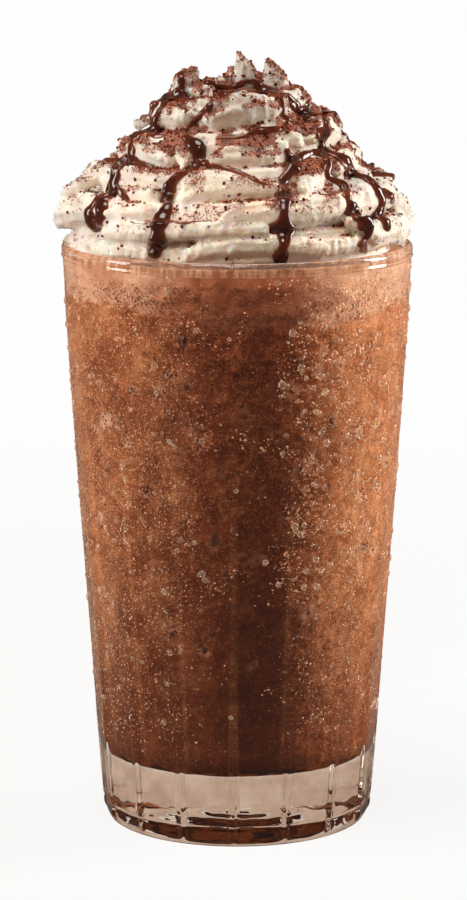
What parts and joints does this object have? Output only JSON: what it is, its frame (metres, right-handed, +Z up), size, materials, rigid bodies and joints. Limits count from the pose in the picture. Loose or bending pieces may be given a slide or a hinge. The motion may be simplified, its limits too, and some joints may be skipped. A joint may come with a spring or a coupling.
{
  "type": "mocha frappe",
  "caption": "Blended mocha coffee drink in a tall panelled glass, topped with froth, a piped whipped cream swirl, chocolate sauce and cocoa.",
  "frame": {"origin": "centre of the glass's foot ring, on the surface that the glass stands on", "axes": "+Z up along the axis of the glass, -Y towards the front, +X to the right seen from the front"},
  "size_m": [0.0894, 0.0889, 0.1956],
  "materials": {
    "glass": "clear, polished",
    "frappe": "moist blended ice, satin",
    "froth": "fine foam, matt",
    "cream": "soft satin",
    "chocolate_sauce": "glossy syrup",
    "cocoa": "dry powder",
    "condensation": "clear water beads"
  },
  "bodies": {
    "root": {"glass": "glass", "frappe_drink": "frappe", "froth": "froth", "whipped_cream": "cream"}
  },
  "joints": []
}
